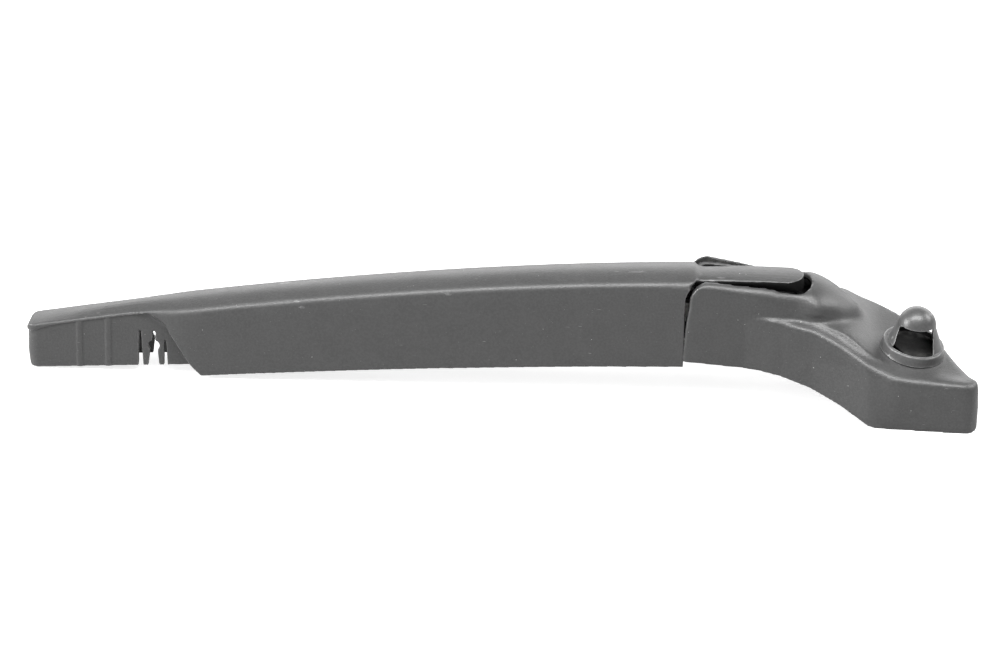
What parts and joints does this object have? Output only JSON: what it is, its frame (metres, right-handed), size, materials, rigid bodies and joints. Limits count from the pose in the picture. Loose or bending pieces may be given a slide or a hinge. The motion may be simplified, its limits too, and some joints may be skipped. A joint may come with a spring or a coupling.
{
  "type": "rear wiper arm",
  "caption": "Rear window wiper arm with a channel body, a snap fork at its tip, a sprung hinge and a cranked mounting head with a hooded nozzle cover.",
  "frame": {"origin": "centre of the spindle bore at the plane of the mounting head's lower rim", "axes": "+Z along the spindle away from the glass, -X along the arm towards its tip"},
  "size_m": [0.3321, 0.0494, 0.045],
  "materials": {
    "arm_plastic": "fine grain",
    "head_plastic": "fine grain",
    "cover_plastic": "satin",
    "insert_steel": "plated",
    "pin_steel": "ground",
    "spring_steel": "plated wire",
    "link_steel": "plated sheet"
  },
  "bodies": {
    "head": {"head": "head_plastic", "spindle_insert": "insert_steel", "nozzle_cover": "cover_plastic", "hinge_pin": "pin_steel", "link_pin": "pin_steel"},
    "arm": {"arm": "arm_plastic", "spring_pin": "pin_steel", "tension_spring": "spring_steel"},
    "link": {"spring_link": "link_steel"}
  },
  "joints": [
    {"name": "arm_lift", "type": "hinge", "parent": "head", "child": "arm", "pos_m": [-0.0688, 0.011, 0.036], "axis": [0, 1, 0], "range_deg": [0, 65]},
    {"name": "link_slide", "type": "slide", "parent": "arm", "child": "link", "axis": [0.9984, 0, 0.0558], "range_m": [0, 0.0092], "deforming": ["tension_spring"]}
  ],
  "couplings": [
    {"joint": "link_slide", "follows": "arm_lift", "m_per_rad": 0.00795}
  ]
}
